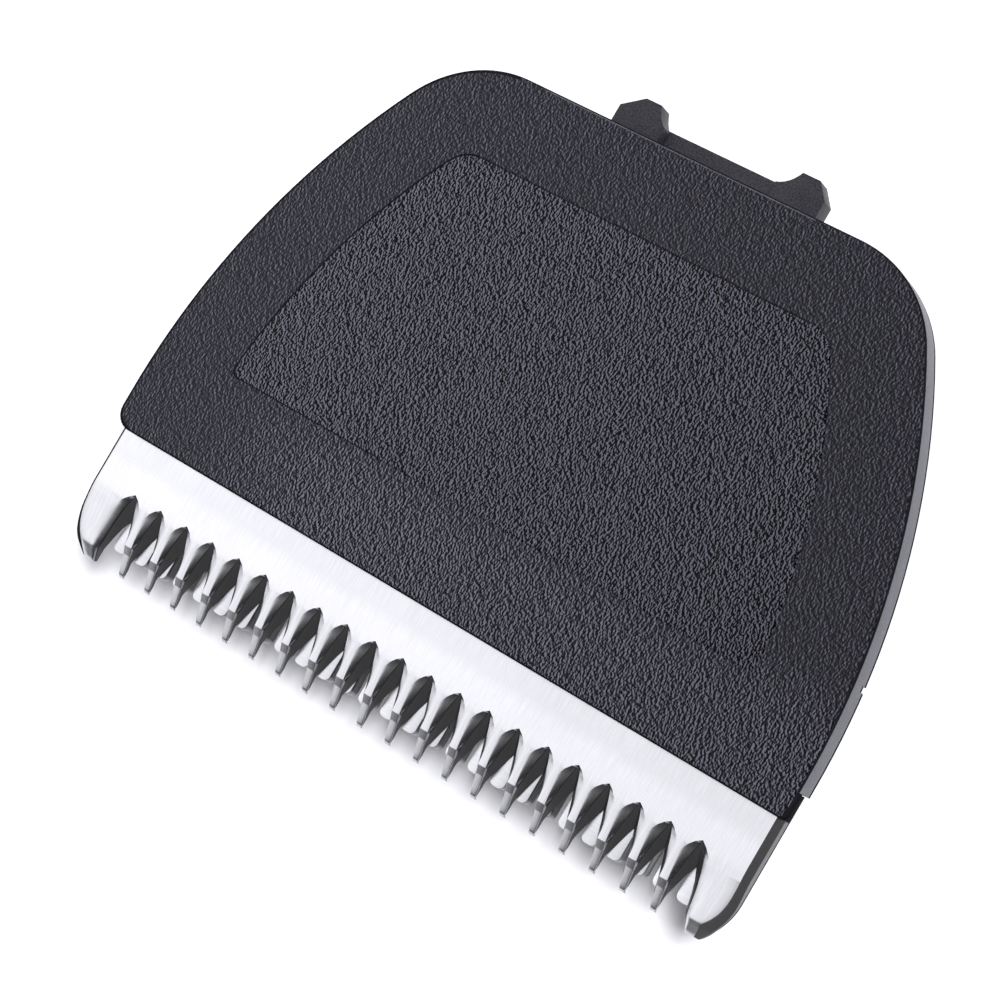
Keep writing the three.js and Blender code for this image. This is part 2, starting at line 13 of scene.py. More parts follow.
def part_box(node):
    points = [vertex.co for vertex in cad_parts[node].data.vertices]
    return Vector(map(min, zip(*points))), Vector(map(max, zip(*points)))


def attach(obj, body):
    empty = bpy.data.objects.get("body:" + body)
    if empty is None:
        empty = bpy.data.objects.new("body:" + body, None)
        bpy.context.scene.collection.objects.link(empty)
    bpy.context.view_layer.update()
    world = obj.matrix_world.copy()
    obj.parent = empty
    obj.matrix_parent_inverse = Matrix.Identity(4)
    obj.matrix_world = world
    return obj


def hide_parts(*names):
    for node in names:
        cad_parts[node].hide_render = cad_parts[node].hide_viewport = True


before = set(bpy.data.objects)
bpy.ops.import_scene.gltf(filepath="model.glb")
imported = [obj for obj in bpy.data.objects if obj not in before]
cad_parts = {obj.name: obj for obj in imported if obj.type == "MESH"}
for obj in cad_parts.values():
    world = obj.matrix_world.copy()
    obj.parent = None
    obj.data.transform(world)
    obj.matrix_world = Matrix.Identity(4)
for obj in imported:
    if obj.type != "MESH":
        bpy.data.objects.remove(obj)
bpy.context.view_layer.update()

MM = 0.001

# ---- driving dimensions ----
TOOTH_PITCH = 1.75
GAPS = 21
TIP_REACH = 3.97  # the comb's tips stand this far in front of the gap roots
BLADE_HALF = 20.3
BLADE_THICK = 1.0
BLADE_CORNER = 3.1  # the end teeth's round corners
BLADE_CORNER_Y = -1.6
SIDE_CHAMFER = 0.3  # depth of the chamfer down the outer sides
TONGUE_FRONT = 3.95  # the blade has its full width up to here; a narrower tongue runs on under the lid
BLADE_REAR = 8.8
UNDER_ROOT = -1.2  # the gaps open through the underside from here
BLADE_SCREW = (13, 6.9)

LIP_FRONT = 2.6
LIP_CORNER = 1.0  # the lid's left front corner
RIGHT_CORNER = 0.3
LIP_UNDER = 0.05  # the lid's lip ends just above the blade
RIM_FRONT = 4.0
RIM_BOTTOM = -1.1
RIM_WALL = 1.2
COVER_UNDER = -0.4  # ceiling inside the lid
EDGE_ROUND = 0.22  # radius of the lid's upper edge
SIDE_RADIUS = 39
SIDE_CURVE_Y = 4.6  # the lid's sides are straight up to here and curve in behind it
CORNER_RADIUS = 6.3
NOTCH_Y = 9.4
NOTCH_WIDTH = 0.3
NOTCH_HEIGHT = 0.35
PANEL_INSET = 4.5
PANEL_FRONT = 7.6
PANEL_CORNER = 0.5
COVER_SCREWS = ((-11.2, 12.6), (11.2, 12.6), (-3.4, 17.8), (3.4, 17.8))

CUTTER_PITCH = 1.35
CUTTER_TEETH = 27
CUTTER_TOOTH_HALF = 0.42
CUTTER_TIP_ROUND = 0.3
CUTTER_ROOT = -0.55
CUTTER_ROOT_HALF = 0.12  # the flat at the bottom of a gap reaches this far from its middle
CUTTER_ROOT_RISE = 0.22
RIVET = (7, 2.3)

SPRING_WIRE = 0.35
COIL_RADIUS = 1.55
COIL_TURNS = 3
COIL_Y = 18
COIL_Z = -4.3
LEG_X = 9.9
BAIL_X = 7.3
BAIL_Y = 21.4
LEG_TIP_Y = 1.5
SPRING_GAP = 0.05  # between the wire and what it presses on
BRIDGE_WING = 1.15  # the bridge's wings lie this far below its top
FRAME_UNDER = -1.75  # where the bail rests under the frame

blade_low, blade_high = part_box("fixed_blade")
cover_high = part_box("top_cover")[1]
cutter_low, cutter_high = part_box("moving_blade")
ROOT_Y = blade_low.y + TIP_REACH * MM
TOP_Z = blade_high.z
COVER_TOP = (cover_high.z - TOP_Z) / MM
SIDE_X = cover_high.x / MM
REAR_Y = (cover_high.y - ROOT_Y) / MM
CUTTER_TOP = (cutter_high.z - TOP_Z) / MM
CUTTER_BOTTOM = (cutter_low.z - TOP_Z) / MM
CUTTER_TIP = (cutter_low.y - ROOT_Y) / MM
CUTTER_REAR = (cutter_high.y - ROOT_Y) / MM
CUTTER_MIDDLE = (cutter_low.x + cutter_high.x) / 2 / MM


def place(x, y, z):
    return Vector((x * MM, ROOT_Y + y * MM, TOP_Z + z * MM))


# ---- mesh helpers ----
SHARP = 35  # degrees: faces that meet at more than this are shaded apart
TURN_SIDES = 40  # of every solid of revolution
MERGE = 1e-3  # points this close are one


def finish_mesh(name, mesh, sharp=SHARP):
    """An object for the mesh, smooth except along edges sharper than that angle."""
    for polygon in mesh.polygons:
        polygon.use_smooth = True
    mesh.set_sharp_from_angle(angle=math.radians(sharp))
    piece = bpy.data.objects.new(name, mesh)
    bpy.context.scene.collection.objects.link(piece)
    return piece


def solid(name, points, faces, finishes=None, sharp=SHARP):
    """A piece from points in millimetres and faces; equal points are merged and normals face out."""
    bm = bmesh.new()
    vertices = [bm.verts.new(place(*point)) for point in points]
    for number, face in enumerate(faces):
        made = bm.faces.new([vertices[i] for i in face])
        if finishes:
            made.material_index = finishes[number]
    bmesh.ops.remove_doubles(bm, verts=bm.verts, dist=MERGE * MM)
    bmesh.ops.dissolve_degenerate(bm, edges=bm.edges, dist=1e-4 * MM)
    bmesh.ops.recalc_face_normals(bm, faces=bm.faces)
    mesh = bpy.data.meshes.new(name)
    bm.to_mesh(mesh)
    bm.free()
    return finish_mesh(name, mesh, sharp)


def baked(piece):
    """Replaces the piece's mesh by what its modifiers make of it."""
    bpy.context.view_layer.update()
    graph = bpy.context.evaluated_depsgraph_get()
    mesh = bpy.data.meshes.new_from_object(piece.evaluated_get(graph))
    piece.modifiers.clear()
    piece.data = mesh
    return piece


def bevelled(piece, width, angle=40):
    """Rounds the edges where faces meet at more than angle degrees."""
    bevel = piece.modifiers.new("bevel", "BEVEL")
    bevel.width = width * MM
    bevel.segments = 2
    bevel.limit_method = "ANGLE"
    bevel.angle_limit = math.radians(angle)
    bevel.harden_normals = False
    baked(piece)
    piece.data.set_sharp_from_angle(angle=math.radians(SHARP))
    return piece


def carved(piece, *cutters):
    for cutter in cutters:
        cut = piece.modifiers.new("cut", "BOOLEAN")
        cut.operation = "DIFFERENCE"
        cut.solver = "EXACT"
        cut.object = cutter
        baked(piece)
        bpy.data.objects.remove(cutter)
    return piece


def refined(node, width):
    """A copy of a CAD node with its flat faces whole and its edges rounded."""
    bm = bmesh.new()
    bm.from_mesh(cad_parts[node].data)
    bmesh.ops.remove_doubles(bm, verts=bm.verts, dist=MERGE * MM)
    bmesh.ops.dissolve_limit(bm, angle_limit=math.radians(1), verts=bm.verts, edges=bm.edges)
    mesh = bpy.data.meshes.new(node + "_body")
    bm.to_mesh(mesh)
    bm.free()
    mesh.materials.clear()
    return bevelled(finish_mesh(node + "_body", mesh), width, angle=30)


def turned(name, profile, middle, axis="Z"):
    """A solid of revolution: profile is (radius, height) from end to end, on the axis at both ends."""
    points = []
    for k in range(TURN_SIDES):
        turn = 2 * math.pi * k / TURN_SIDES
        for radius, height in profile:
            across, along = radius * math.cos(turn), radius * math.sin(turn)
            if axis == "Z":
                points.append((middle[0] + across, middle[1] + along, middle[2] + height))
            else:
                points.append((middle[0] + height, middle[1] + across, middle[2] + along))
    rows = len(profile)
    faces = []
    for k in range(TURN_SIDES):
        here, there = k * rows, (k + 1) % TURN_SIDES * rows
        for row in range(rows - 1):
            corners = [here + row, here + row + 1, there + row + 1, there + row]
            if profile[row][0] == 0:
                corners.remove(there + row)
            if profile[row + 1][0] == 0:
                corners.remove(there + row + 1)
            faces.append(corners)
    return solid(name, points, faces)


def joined(name, *pieces):
    """One piece whose mesh holds the meshes of all of them."""
    bm = bmesh.new()
    for piece in pieces:
        bm.from_mesh(piece.data)
        bpy.data.objects.remove(piece)
    mesh = bpy.data.meshes.new(name)
    bm.to_mesh(mesh)
    bm.free()
    return finish_mesh(name, mesh)


def along(stops, value):
    """Linear interpolation through (position, value) stops whose positions rise."""
    if value <= stops[0][0]:
        return stops[0][1]
    for (p0, v0), (p1, v1) in zip(stops, stops[1:]):
        if value <= p1:
            return v0 + (v1 - v0) * (value - p0) / (p1 - p0)
    return stops[-1][1]


# ---- lid ----
def side_x(y, inset):
    if y <= SIDE_CURVE_Y:
        return SIDE_X - inset
    return SIDE_X - SIDE_RADIUS + math.sqrt((SIDE_RADIUS - inset) ** 2 - (y - SIDE_CURVE_Y) ** 2)


CORNER_Y = REAR_Y - CORNER_RADIUS
CORNER_ANGLE = math.asin((CORNER_Y - SIDE_CURVE_Y) / (SIDE_RADIUS - CORNER_RADIUS))
CORNER_X = SIDE_X - SIDE_RADIUS + (SIDE_RADIUS - CORNER_RADIUS) * math.cos(CORNER_ANGLE)
STEP = 0.01  # half the length of a step in the rim's foot
CLEAR = 0.2  # the other points keep this far from a step
# How many parts half an outline's front, front corner, side, rear corner and rear are drawn in.
FRONT_PARTS, CORNER_PARTS, SIDE_PARTS, REAR_CORNER_PARTS, REAR_PARTS = 12, 8, 24, 16, 8


def side_stations():
    """The y of every point along the outer side, with close pairs where the rim's foot steps."""
    start = LIP_FRONT + LIP_CORNER
    end = CORNER_Y + CORNER_RADIUS * math.sin(CORNER_ANGLE)
    notch = [NOTCH_Y - NOTCH_WIDTH / 2, NOTCH_Y + NOTCH_WIDTH / 2]
    edges = [RIM_FRONT, *notch]
    pairs = [edge + shift for edge in edges for shift in (-STEP, STEP)]
    plain = [start + (end - start) * k / SIDE_PARTS for k in range(SIDE_PARTS + 1)]
    kept = [y for y in plain if all(abs(y - edge) > CLEAR for edge in edges)]
    return sorted(pairs + kept)


STATIONS = side_stations()


def half_ring(inset, front, corner, start):
    """The right half of the head's outline, drawn in by inset, with its front edge at y = front; the stations
    along the side begin at y = start."""
    centre = (side_x(front + corner, inset) - corner, front + corner)
    points = [(centre[0] * k / FRONT_PARTS, front) for k in range(FRONT_PARTS + 1)]
    for k in range(1, CORNER_PARTS):
        turn = math.pi / 2 * k / CORNER_PARTS
        points.append((centre[0] + corner * math.sin(turn), centre[1] - corner * math.cos(turn)))
    end = CORNER_Y + (CORNER_RADIUS - inset) * math.sin(CORNER_ANGLE)
    for y in STATIONS:
        part = (y - STATIONS[0]) / (STATIONS[-1] - STATIONS[0])
        points.append((side_x(start + (end - start) * part, inset), start + (end - start) * part))
    for k in range(1, REAR_CORNER_PARTS + 1):
        turn = CORNER_ANGLE + (math.pi / 2 - CORNER_ANGLE) * k / REAR_CORNER_PARTS
        radius = CORNER_RADIUS - inset
        points.append((CORNER_X + radius * math.cos(turn), CORNER_Y + radius * math.sin(turn)))
    last = points[-1][0]
    return points + [(last * (1 - k / REAR_PARTS), REAR_Y - inset) for k in range(1, REAR_PARTS + 1)]


def head_ring(inset, front=LIP_FRONT, left=LIP_CORNER, right=RIGHT_CORNER):
    start = front + max(left, right)
    other = half_ring(inset, front, left, start)[1:-1]
    return half_ring(inset, front, right, start) + [(-x, y) for x, y in reversed(other)]


def foot_of_rim(x, y):
    if y < RIM_FRONT:
        return LIP_UNDER
    if x > 0 and abs(y - NOTCH_Y) < NOTCH_WIDTH / 2:
        return RIM_BOTTOM + NOTCH_HEIGHT
    return RIM_BOTTOM


GRAIN, BORDER, SMOOTH_PAINTED_LIGHT, PAINTED_SHADE = 0, 1, 2, 3  # the lid's finishes: grain, border grain, plastic lightened as painted light on the rim, and near-black painted shade
GROOVE = 0.05  # half the width of the line round the panel
LINE_END = -9  # the line carries painted shade along the left and the rear, and along the front up to here
# Finishes of the strips outside the rounded edge's rings, from the top down. The dark ones are painted shade
# where the edge turns down; the smooth ones below are lightened as painted light on the rim's side.
ROUND_FINISHES = (BORDER, BORDER, PAINTED_SHADE, PAINTED_SHADE, SMOOTH_PAINTED_LIGHT, SMOOTH_PAINTED_LIGHT)
REAR_HIGHLIGHT = 7.6  # the second of them carries a painted highlight this far to either side along the rear
CORNER_SHRINK = 0.9  # the front corners' radii shrink by this share of what a ring is drawn in by
FOOT_BAND = (0.3, 0.1)  # heights above the rim's foot where its band of painted shade and its slanted edge begin
FOOT_INSET = 0.08  # the foot is drawn in by this
WALL_CORNER = 0.4  # radius of the inner wall's front corners


def at_height(ring, z):
    return [(x, y, z) for x, y in ring]


def strip_finish(k, finish, x, y):
    """The finish of the lid's strip k beside the point (x, y) of its outline, where it is usually finish. It
    puts painted shade in the panel line along the left, the rear and the front's left end, on the top of the
    rounded edge along the left side and on the lid's front below the rounded edge, and a painted highlight
    along the middle of the rear edge.
    """
    front, rear = y < LIP_FRONT + STEP, y > REAR_Y - STEP
    left = x < 0 and not front and not rear
    if (k < 2 and left) or (k == 0 and (rear or (front and x < LINE_END))):
        return PAINTED_SHADE
    if k in (3, 4) and left:
        return PAINTED_SHADE
    if k == 4 and rear and abs(x) < REAR_HIGHLIGHT:
        return SMOOTH_PAINTED_LIGHT
    if finish == SMOOTH_PAINTED_LIGHT and y < RIM_FRONT:
        return PAINTED_SHADE
    return finish


def boss(x, y):
    """A hollow boss under the lid, which takes a screw."""
    profile = [(0, COVER_UNDER + 0.1), (2, COVER_UNDER + 0.1), (2, -1.5), (1.9, -1.6), (1.1, -1.6),
               (1.1, -0.2), (0, -0.2)]
    made = turned("boss", profile, (x, y, 0))
    for polygon in made.data.polygons:
        polygon.material_index = SMOOTH_PAINTED_LIGHT
    return made


def lid():
    """The lid: rings from the panel's line out over the edge, down the rim and up inside, and its bosses."""
    rings = []  # (points, finish of the strip outside it)
    for inset, z, finish in ((GROOVE, 0, GRAIN), (0, -GROOVE, BORDER), (-GROOVE, 0, BORDER)):
        ring = head_ring(PANEL_INSET + inset, PANEL_FRONT + inset, PANEL_CORNER, PANEL_CORNER)
        rings.append((at_height(ring, COVER_TOP + z), finish))
    for k, finish in enumerate(ROUND_FINISHES):
        turn = math.pi / 2 * k / (len(ROUND_FINISHES) - 1)
        inset = EDGE_ROUND * (1 - math.sin(turn))
        shrink = inset * CORNER_SHRINK
        ring = head_ring(inset, LIP_FRONT + inset, LIP_CORNER - shrink, RIGHT_CORNER - shrink)
        rings.append((at_height(ring, COVER_TOP - EDGE_ROUND * (1 - math.cos(turn))), finish))
    outer = head_ring(0)
    foot = [(x, y, foot_of_rim(x, y)) for x, y in outer]
    # A band of painted shade along the rim's foot.
    for rise in FOOT_BAND:
        rings.append(([(x, y, z + rise) for x, y, z in foot], PAINTED_SHADE))
    corners = (LIP_CORNER - FOOT_INSET, RIGHT_CORNER - FOOT_INSET)
    inner = head_ring(FOOT_INSET, LIP_FRONT + FOOT_INSET, *corners)
    rings.append(([(x, y, z) for (x, y), (_, _, z) in zip(inner, foot)], SMOOTH_PAINTED_LIGHT))
    wall = head_ring(RIM_WALL, LIP_FRONT + RIM_WALL, WALL_CORNER, WALL_CORNER)
    rings.append(([(x, y, z) for (x, y), (_, _, z) in zip(wall, foot)], SMOOTH_PAINTED_LIGHT))
    roof = [(x, y, LIP_UNDER if z == LIP_UNDER else COVER_UNDER) for (x, y), (_, _, z) in zip(wall, foot)]
    rings.append((roof, SMOOTH_PAINTED_LIGHT))

    count = len(outer)
    points = [point for ring, _ in rings for point in ring]
    faces = [list(range(count))]
    finishes = [GRAIN]
    for k, (_, finish) in enumerate(rings[:-1]):
        for i in range(count):
            j = (i + 1) % count
            faces.append([k * count + i, k * count + j, (k + 1) * count + j, (k + 1) * count + i])
            finishes.append(strip_finish(k, finish, *outer[i]))
    faces.append([(len(rings) - 1) * count + i for i in range(count)])
    finishes.append(SMOOTH_PAINTED_LIGHT)
    shell = solid("lid_shell", points, faces, finishes)
    return joined("lid", shell, *[boss(x, y) for x, y in COVER_SCREWS])


# ---- comb blade ----
# Tables of (reach in front of the gap roots, value). A gap's side has a bevel from its crest down to its
# wall, and the wall runs on to the underside. CREST, WALL_SHADE and LOW, the wall's foot, are widths from the gap's
# middle. TOP and UNDER are heights, and BEVEL is the bevel's depth. The two outermost teeth have their own.
INNER_CREST = ((0, 0), (0.2, 0.3), (0.43, 0.5), (0.69, 0.69), (0.9, 0.76), (1.3, 0.755), (1.9, 0.71),
               (2.41, 0.66), (2.83, 0.68), (3.6, 0.73), (TIP_REACH, 0.76))
INNER_WALL = ((0, 0), (0.15, 0.06), (0.65, 0.21), (1.22, 0.35), (1.85, 0.47), (2.38, 0.57), (2.83, 0.63),
              (TIP_REACH, 0.7))
INNER_LOW = ((1.2, 0), (1.67, 0.17), (2.36, 0.38), (2.78, 0.5), (3.1, 0.57), (3.53, 0.69), (3.86, 0.8),
             (TIP_REACH, 0.84))
INNER_TOP = ((0, 0), (0.35, -0.02), (0.8, -0.09), (1.3, -0.19), (2.41, -0.41), (2.83, -0.69), (3.8, -1.16),
             (3.9, -1.24), (TIP_REACH, -1.35))
INNER_UNDER = ((0, -1.0), (3.1, -1.0), (3.3, -1.15), (3.53, -1.3), (3.8, -1.46), (TIP_REACH, -1.46))
INNER_BEVEL = ((0, 0.1), (0.4, 0.2), (2.38, 0.2), (2.83, 0.08), (TIP_REACH, 0.06))
END_CREST = ((0, 0), (0.2, 0.29), (0.45, 0.55), (0.95, 1.1), (1.3, 1.32), (1.7, 1.4), (2.5, 1.42), (3.2, 1.2),
             (TIP_REACH, 1.05))
END_WALL = ((0, 0), (0.45, 0.24), (1.19, 0.45), (2.2, 0.63), (2.95, 0.74), (3.4, 0.84), (TIP_REACH, 0.93))
END_LOW = ((1.2, 0), (1.79, 0.27), (2.32, 0.43), (3.24, 0.64), (3.76, 0.86), (TIP_REACH, 0.92))
END_TOP = ((0, 0), (0.35, -0.02), (0.8, -0.09), (1.3, -0.19), (3.22, -0.54), (3.3, -0.57), (3.9, -1.07),
           (TIP_REACH, -1.15))
END_UNDER = ((0, -1.0), (3.2, -1.0), (3.5, -1.2), (3.86, -1.42), (TIP_REACH, -1.42))
END_BEVEL = ((0, 0.1), (0.4, 0.24), (3.2, 0.26), (TIP_REACH, 0.14))
# Reaches of the rows of points along a gap's side. The shares say how far down the bevel and the wall the
# points of each row lie.
ROWS = (0.05, 0.12, 0.2, 0.3, 0.43, 0.56, 0.69, 0.78, 0.9, 1.05, 1.3, 1.6, 1.9, 2.2, 2.38, 2.41, 2.44, 2.6,
        2.8, 2.83, 2.86, 3.1, 3.2, 3.26, 3.33, 3.5, 3.74, 3.84, 3.92, TIP_REACH)
BEVEL_SHARES = (0, 0.12, 0.28, 0.45, 0.62, 0.78, 0.9, 1)
WALL_SHARES = (0.06, 0.5, 0.92, 1)
# The bevel starts crisply beside the gap's point and softly further forward, most of all on the end teeth.
SOFT_START = 0.4
SOFT_LENGTH = (0.9, 0.5)  # inner teeth, end teeth
SOFT_POWER = (0.7, 1.6)
PLATE_ROW = 1.2  # a row of points across the plate behind the gap roots

STEEL, EDGE_SHADE, SIDE_SHADE, WALL_SHADE = 0, 1, 2, 3  # the blade's finishes: the ground top, and darker ones that are painted shade on edges, outer sides and walls
BLADE_SHARP = 24
EDGE_STRIP = len(BEVEL_SHARES) - 2  # the last strip of the bevel, a thin line of painted shade beside the wall


def gap_flank(is_end):
    """Rows of one side of a gap at x = 0, for the tooth on its right. Each row runs from the top face over
    the bevel and down the wall to the underside."""
    if is_end:
        tables = (END_CREST, END_WALL, END_LOW, END_TOP, END_UNDER, END_BEVEL)
    else:
        tables = (INNER_CREST, INNER_WALL, INNER_LOW, INNER_TOP, INNER_UNDER, INNER_BEVEL)
    rows = []
    for reach in (0.0, *ROWS):
        low_reach = -UNDER_ROOT + reach * (TIP_REACH + UNDER_ROOT) / TIP_REACH
        crest, wall = along(tables[0], reach), along(tables[1], reach)
        low, top = along(tables[2], low_reach), along(tables[3], reach)
        under, depth = along(tables[4], low_reach), along(tables[5], reach)
        soft = min(max(reach - SOFT_START, 0.0) / SOFT_LENGTH[is_end], 1.0)
        roundness = 1 + SOFT_POWER[is_end] * soft
        row = [(crest + (wall - crest) * share, -reach, top - depth * share ** roundness)
               for share in BEVEL_SHARES]
        foot = row[-1]
        for share in WALL_SHARES:
            y = -reach + (reach - low_reach) * share
            row.append((wall + (low - wall) * share, y, foot[2] + (under - foot[2]) * share))
        rows.append(row)
    return rows


def strip_faces(rows):
    """Quads between rows of equal length, as lists of indices into the flattened rows."""
    width = len(rows[0])
    faces = []
    for r in range(len(rows) - 1):
        for c in range(width - 1):
            faces.append([r * width + c, r * width + c + 1, (r + 1) * width + c + 1, (r + 1) * width + c])
    return faces


def half_tooth(gap_x, side):
    """The half of an inner tooth on one side of the gap at gap_x, as rows from crest to crest."""
    crest = TOOTH_PITCH / 2
    rows = []
    for row in gap_flank(False):
        first, last = row[0], row[-1]
        full = [(crest, first[1], first[2]), *row, (crest, last[1], last[2])]
        rows.append([(gap_x + side * x, y, z) for x, y, z in full])
    return rows


def outer_edge(y, inset):
    """x of the end tooth's outer edge, drawn in by inset."""
    if y >= BLADE_CORNER_Y:
        return BLADE_HALF - inset
    reach = BLADE_CORNER_Y - y
    radius = BLADE_CORNER - inset
    return BLADE_HALF - BLADE_CORNER + math.sqrt(max(radius ** 2 - reach ** 2, 0.0))


# Width of the chamfer on the end tooth's outer side: it widens round the corner.
CHAMFER_WIDTH = ((1.0, 0.34), (2.4, 0.42), (3.3, 0.5), (TIP_REACH, 0.12))
SHADE_SHARE = 0.6  # this share of it, at the outer edge, is in painted shade
SIDE_FOOT = 0.2  # height of the strip of painted shade at the foot of the side
# Finishes of the strips down the outer sides: chamfer, its outer part, side, foot and bottom edge. All but
# the left chamfer are painted shade.
SIDE_STRIPS = {-1: (STEEL, EDGE_SHADE, EDGE_SHADE, EDGE_SHADE, EDGE_SHADE), 1: (WALL_SHADE, WALL_SHADE, SIDE_SHADE, EDGE_SHADE, EDGE_SHADE)}


def end_section(top_y, under_y, high, low):
    """The end tooth's outer side, from its top face at top_y down to its underside at under_y."""
    tall = high - low
    drop = min(SIDE_CHAMFER, tall * 0.45)
    near = top_y + (under_y - top_y) * drop / tall
    width = along(CHAMFER_WIDTH, -top_y)
    foot = min(SIDE_FOOT, tall * 0.3)
    return [(outer_edge(top_y, width), top_y, high),
            (outer_edge(near, width * SHADE_SHARE), near, high - drop * (1 - SHADE_SHARE)),
            (outer_edge(near, 0), near, high - drop),
            (outer_edge(under_y, 0), under_y, low + foot),
            (outer_edge(under_y, 0), under_y, low + foot * 0.3),
            (outer_edge(under_y, 0.05), under_y, low)]


def end_tooth(side):
    gap_x = (GAPS - 1) / 2 * TOOTH_PITCH
    rows = []
    for row in gap_flank(True):
        first, last = row[0], row[-1]
        inner = [(gap_x + x, y, z) for x, y, z in row]
        outer = end_section(first[1], last[1], first[2], last[2])
        middle = ((inner[0][0] + outer[0][0]) / 2, first[1], first[2])
        under = [((inner[-1][0] + outer[-1][0]) / 2, last[1], last[2]), outer[-1]]
        rows.append([(side * x, y, z) for x, y, z in [*reversed(outer), middle, *inner, *under]])
    return rows


def plate_columns(edge):
    """x of every column of points behind the gap roots; edge is the outermost on either side."""
    last = (GAPS - 1) / 2 * TOOTH_PITCH
    inner = [-last + k * TOOTH_PITCH / 2 for k in range(2 * GAPS - 1)]
    return [-edge, -(last + edge) / 2, *inner, (last + edge) / 2, edge]


def comb_blade():
    points, faces = [], []
    finish_of = {}  # by a face's number, where it isn't STEEL

    def add(rows, strip_finishes):
        start = len(points)
        width = len(rows[0])
        points.extend(point for row in rows for point in row)
        for number, face in enumerate(strip_faces(rows)):
            if number % (width - 1) in strip_finishes:
                finish_of[len(faces)] = strip_finishes[number % (width - 1)]
            faces.append([start + i for i in face])
        last = start + (len(rows) - 1) * width
        faces.append([last + i for i in range(width)])

    # Painted shade on the bevel's last strip and down the gap's walls.
    flank = {EDGE_STRIP: EDGE_SHADE, **{EDGE_STRIP + 1 + k: WALL_SHADE for k in range(len(WALL_SHARES))}}
    for k in range(GAPS):
        gap_x = (k - (GAPS - 1) / 2) * TOOTH_PITCH
        strips = {number + 1: finish for number, finish in flank.items()}
        if k > 0:
            add(half_tooth(gap_x, -1), strips)
        if k < GAPS - 1:
            add(half_tooth(gap_x, 1), strips)
    for side in (-1, 1):
        count = len(SIDE_STRIPS[side])
        strips = {count - 1 - number: finish for number, finish in enumerate(SIDE_STRIPS[side])}
        strips.update({count + 2 + number: finish for number, finish in flank.items()})
        add(end_tooth(side), strips)
    add_plate(points, faces, finish_of)
    finishes = [finish_of.get(number, STEEL) for number in range(len(faces))]
    return solid("comb_blade_plate", points, faces, finishes, BLADE_SHARP)


def add_plate(points, faces, finish_of):
    """The plate behind the gap roots: top and bottom faces, the sides and the tongue under the lid."""
    root = gap_flank(False)[0]
    stops = [PLATE_ROW, LIP_FRONT, TONGUE_FRONT, BLADE_REAR]
    section = end_section(0, 0, 0.0, -BLADE_THICK)
    layers = (([root[0][1], *stops], 0.0, plate_columns(section[0][0])),
              ([root[-1][1], *stops], -BLADE_THICK, plate_columns(section[-1][0])))
    start = len(points)
    for rows, z, columns in layers:
        points.extend((x, y, z) for y in rows for x in columns)
    depth, width = len(stops) + 1, len(layers[0][2])
    tongue = (GAPS - 2) / 2 * TOOTH_PITCH + STEP  # its half width, with a little room for rounding
    inside = [abs(x) <= tongue for x in layers[0][2]]

    def at(layer, row, column):
        return start + (layer * depth + row) * width + column

    for row in range(depth - 1):
        for column in range(width - 1):
            if row == depth - 2 and not (inside[column] and inside[column + 1]):
                continue
            for layer in (0, 1):
                faces.append([at(layer, row, column), at(layer, row, column + 1),
                              at(layer, row + 1, column + 1), at(layer, row + 1, column)])
    for column in range(width - 1):
        row = depth - 1 if inside[column] and inside[column + 1] else depth - 2
        faces.append([at(0, row, column), at(0, row, column + 1), at(1, row, column + 1), at(1, row, column)])
    for column in (inside.index(True), width - 1 - inside[::-1].index(True)):
        faces.append([at(0, depth - 2, column), at(0, depth - 1, column), at(1, depth - 1, column),
                      at(1, depth - 2, column)])
    for side in (-1, 1):
        rows = []
        for y in (root[0][1], *stops[:3]):
            under_y = root[-1][1] if y == root[0][1] else y
            rows.append([(side * x, py, z) for x, py, z in end_section(y, under_y, 0.0, -BLADE_THICK)])
        base = len(points)
        points.extend(point for row in rows for point in row)
        strips = len(SIDE_STRIPS[side])
        for number, face in enumerate(strip_faces(rows)):
            # The sides under the lid are in painted shade.
            under_lid = rows[number // strips][0][1] > LIP_FRONT - STEP
            finish_of[len(faces)] = EDGE_SHADE if under_lid else SIDE_STRIPS[side][number % strips]
            faces.append([base + i for i in face])
        last = base + (len(rows) - 1) * len(rows[0])
        faces.append([last + i for i in range(len(rows[0]))])


def countersink(side):
    profile = [(0, -1.2), (1.15, -1.2), (1.15, -0.75), (2.1, 0.2), (0, 0.2)]
    return turned("sink", profile, (side * BLADE_SCREW[0], BLADE_SCREW[1], 0))


# ---- cutter and the pieces under the lid ----
def cutter_outline():
    middle = (CUTTER_TEETH - 1) / 2
    corner = CUTTER_TOOTH_HALF - CUTTER_TIP_ROUND
    points = []
    for k in range(CUTTER_TEETH):
        x = CUTTER_MIDDLE + (k - middle) * CUTTER_PITCH
        points.append((x - CUTTER_TOOTH_HALF, CUTTER_ROOT))
        for side in (-1, 1):
            for step in range(5):
                turn = math.pi / 8 * (step if side > 0 else 4 - step)
                points.append((x + side * (corner + CUTTER_TIP_ROUND * math.sin(turn)),
                               CUTTER_TIP + CUTTER_TIP_ROUND * (1 - math.cos(turn))))
        points.append((x + CUTTER_TOOTH_HALF, CUTTER_ROOT))
        if k < CUTTER_TEETH - 1:
            for shift in (-CUTTER_ROOT_HALF, CUTTER_ROOT_HALF):
                points.append((x + CUTTER_PITCH / 2 + shift, CUTTER_ROOT + CUTTER_ROOT_RISE))
    return [*points, (points[-1][0], CUTTER_REAR), (points[0][0], CUTTER_REAR)]


def cutter():
    outline = cutter_outline()
    count = len(outline)
    points = [(x, y, z) for z in (CUTTER_BOTTOM, CUTTER_TOP) for x, y in outline]
    faces = [list(range(count)), list(range(count, 2 * count))]
    faces += [[i, (i + 1) % count, count + (i + 1) % count, count + i] for i in range(count)]
    plate = solid("cutter_plate", points, faces)
    bore = [(0, -4), (1, -4), (1, 0), (0, 0)]
    bores = [turned("bore", bore, (CUTTER_MIDDLE + side * RIVET[0], RIVET[1], 0)) for side in (-1, 1)]
    return bevelled(carved(plate, *bores), 0.04)


